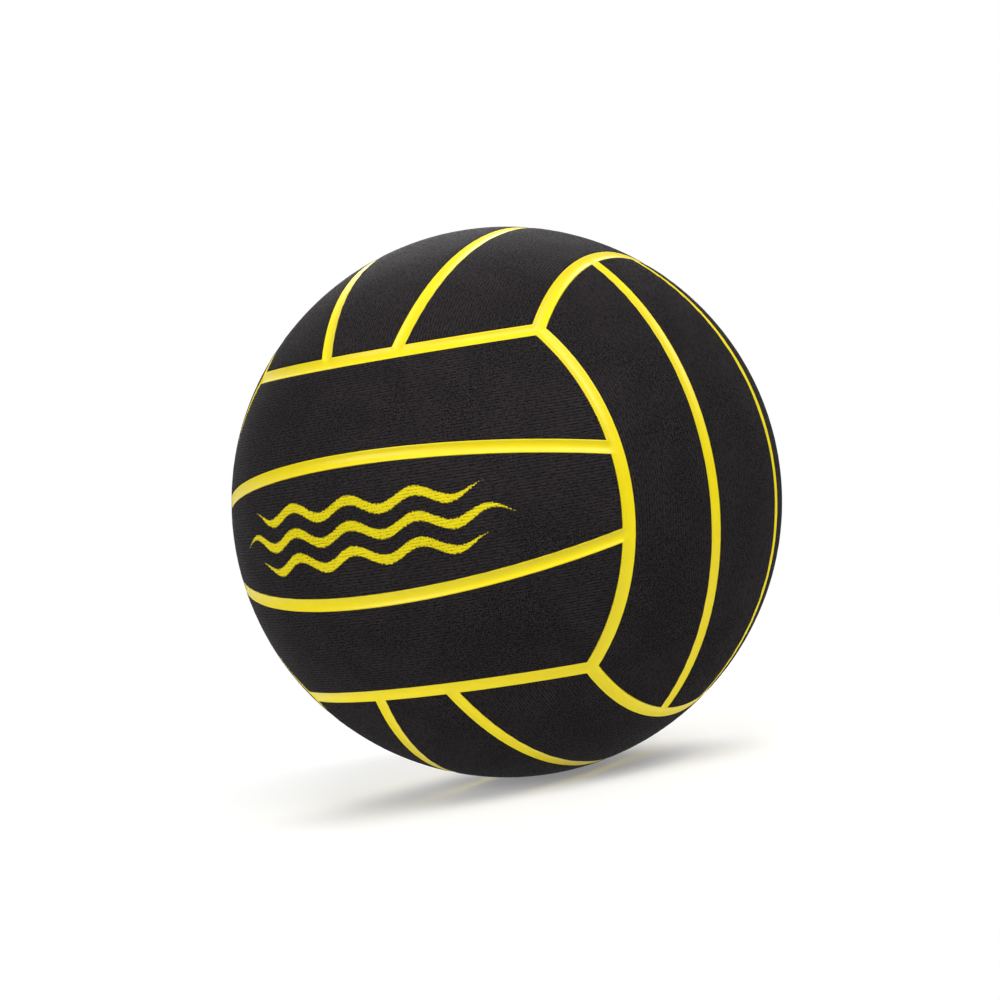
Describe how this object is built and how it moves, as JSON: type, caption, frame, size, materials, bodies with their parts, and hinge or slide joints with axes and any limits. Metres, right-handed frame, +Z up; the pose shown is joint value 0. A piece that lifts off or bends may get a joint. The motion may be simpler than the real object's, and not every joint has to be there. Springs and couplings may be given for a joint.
{
  "type": "water polo ball",
  "caption": "Round inflated ball for water polo, with a grippy rubber cover in strips, concave channels between them and a needle valve.",
  "frame": {"origin": "centre of the ball", "axes": "+Z up as the ball is shown, -Y out of the front face, whose strips run along X, and +Y out of the valve"},
  "size_m": [0.2212, 0.2211, 0.2212],
  "materials": {
    "cover": "matte",
    "carcass": "satin",
    "thread": "matte",
    "bladder": "matte",
    "valve": "satin",
    "valve_core": "satin"
  },
  "bodies": {
    "root": {"panel_right_front": "cover", "panel_right_middle": "cover", "panel_right_rear": "cover", "panel_left_front": "cover", "panel_left_middle": "cover", "panel_left_rear": "cover", "panel_back_lower": "cover", "panel_back_middle": "cover", "panel_back_upper": "cover", "panel_front_lower": "cover", "panel_front_middle": "cover", "panel_front_upper": "cover", "panel_top_left": "cover", "panel_top_middle": "cover", "panel_top_right": "cover", "panel_bottom_left": "cover", "panel_bottom_middle": "cover", "panel_bottom_right": "cover", "carcass": "carcass", "thread_winding": "thread", "bladder": "bladder", "valve_patch": "bladder", "valve_housing": "valve", "valve_core": "valve_core"}
  },
  "joints": []
}
